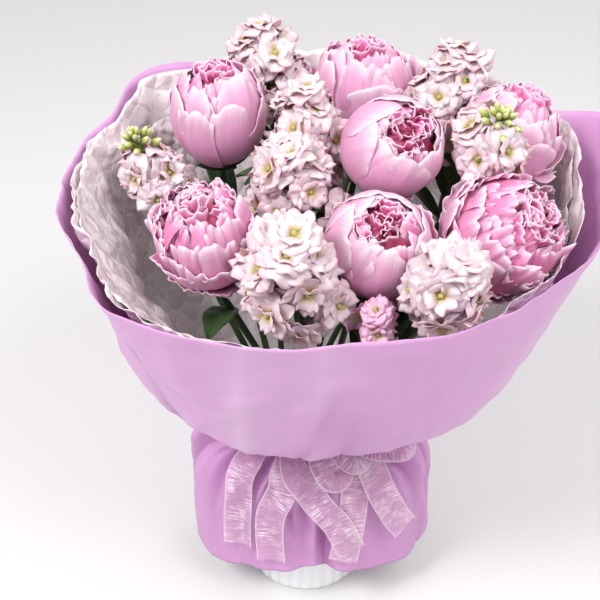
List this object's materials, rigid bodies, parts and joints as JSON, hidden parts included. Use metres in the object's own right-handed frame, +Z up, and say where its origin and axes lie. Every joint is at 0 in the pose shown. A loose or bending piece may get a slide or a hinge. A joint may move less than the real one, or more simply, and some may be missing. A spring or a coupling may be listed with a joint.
{
  "type": "bunch of peonies",
  "caption": "Wrapped bunch of pink peonies and blush stocks in tissue and lilac paper, tied with an organza ribbon and standing upright in a white fluted vase.",
  "frame": {"origin": "centre of the vase's foot, on the surface it stands on", "axes": "+Z up along the vase, -Y towards the front of the bunch with the ribbon, +X to its right"},
  "size_m": [0.4696, 0.4335, 0.5733],
  "materials": {
    "petal_pink": "soft satin petal",
    "floret_blush": "matt petal",
    "stem_green": "waxy green stem and leaf",
    "bud_green": "matt green bud",
    "lilac_paper": "smooth matt coated paper",
    "tissue_paper": "thin crinkled glassine",
    "organza": "sheer organza with bright edge threads",
    "glazed_white": "white gloss glaze",
    "tie_twine": "rough green twine"
  },
  "bodies": {
    "root": {"vase": "glazed_white", "stem_tie": "tie_twine", "peony_1_bloom": "petal_pink", "peony_1_stem": "stem_green", "peony_2_bloom": "petal_pink", "peony_2_stem": "stem_green", "peony_3_bloom": "petal_pink", "peony_3_stem": "stem_green", "peony_4_bloom": "petal_pink", "peony_4_stem": "stem_green", "peony_5_bloom": "petal_pink", "peony_5_stem": "stem_green", "peony_6_bloom": "petal_pink", "peony_6_stem": "stem_green", "peony_7_bloom": "petal_pink", "peony_7_stem": "stem_green", "stock_1_florets": "floret_blush", "stock_1_stem": "stem_green", "stock_2_florets": "floret_blush", "stock_2_stem": "stem_green", "stock_2_buds": "bud_green", "stock_3_florets": "floret_blush", "stock_3_stem": "stem_green", "stock_4_florets": "floret_blush", "stock_4_stem": "stem_green", "stock_5_florets": "floret_blush", "stock_5_stem": "stem_green", "stock_6_florets": "floret_blush", "stock_6_stem": "stem_green", "stock_7_florets": "floret_blush", "stock_7_stem": "stem_green", "stock_7_buds": "bud_green", "stock_8_florets": "floret_blush", "stock_8_stem": "stem_green", "stock_9_florets": "floret_blush", "stock_9_stem": "stem_green", "tissue_wrap": "tissue_paper", "lilac_wrap": "lilac_paper", "lilac_skirt": "lilac_paper", "organza_ribbon": "organza"}
  },
  "joints": []
}
